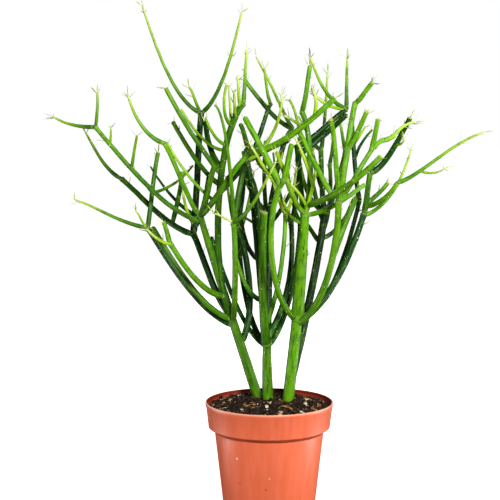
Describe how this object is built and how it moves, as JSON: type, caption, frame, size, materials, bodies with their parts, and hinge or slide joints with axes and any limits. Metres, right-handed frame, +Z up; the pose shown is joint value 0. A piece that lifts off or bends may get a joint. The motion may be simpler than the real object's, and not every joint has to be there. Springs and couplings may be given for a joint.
{
  "type": "potted euphorbia",
  "caption": "Leafless pencil-cactus euphorbia with forking green stems, rooted in dark potting mix in a terracotta-coloured plastic nursery pot.",
  "frame": {"origin": "centre of the pot's flat base", "axes": "+Z up along the pot's axis, +X to the right of the front view, +Y to the back"},
  "size_m": [0.4149, 0.2379, 0.4846],
  "materials": {
    "pot_plastic": "satin moulded terracotta-coloured plastic",
    "potting_mix": "crumbly dark peat and bark potting mix",
    "stem_front": "smooth waxy green stems, lime at the tips",
    "stem_rear": "smooth waxy dark green stems",
    "bark": "rough pine bark chips",
    "perlite": "rough white perlite grains",
    "leaf": "soft yellow-green leaf"
  },
  "bodies": {
    "root": {"nursery_pot": "pot_plastic", "potting_mix": "potting_mix", "stem_left": "stem_front", "stem_middle": "stem_front", "stem_right": "stem_front", "stem_rear_right": "stem_rear", "stem_rear_middle": "stem_rear", "bark_chip_1": "bark", "bark_chip_2": "bark", "bark_chip_3": "bark", "bark_chip_4": "bark", "bark_chip_5": "bark", "bark_chip_6": "bark", "bark_chip_7": "bark", "bark_chip_8": "bark", "perlite_grain_1": "perlite", "perlite_grain_2": "perlite", "perlite_grain_3": "perlite", "perlite_grain_4": "perlite", "perlite_grain_5": "perlite", "perlite_grain_6": "perlite", "leaf_1": "leaf", "leaf_2": "leaf", "leaf_3": "leaf", "leaf_4": "leaf", "leaf_5": "leaf", "leaf_6": "leaf", "leaf_7": "leaf", "leaf_8": "leaf", "leaf_9": "leaf", "leaf_10": "leaf", "leaf_11": "leaf", "leaf_12": "leaf", "leaf_13": "leaf", "leaf_14": "leaf", "leaf_15": "leaf", "leaf_16": "leaf", "leaf_17": "leaf", "leaf_18": "leaf", "leaf_19": "leaf", "leaf_20": "leaf", "leaf_21": "leaf", "leaf_22": "leaf", "leaf_23": "leaf", "leaf_24": "leaf", "leaf_25": "leaf", "leaf_26": "leaf", "leaf_27": "leaf", "leaf_28": "leaf", "leaf_29": "leaf", "leaf_30": "leaf", "leaf_31": "leaf", "leaf_32": "leaf"}
  },
  "joints": []
}
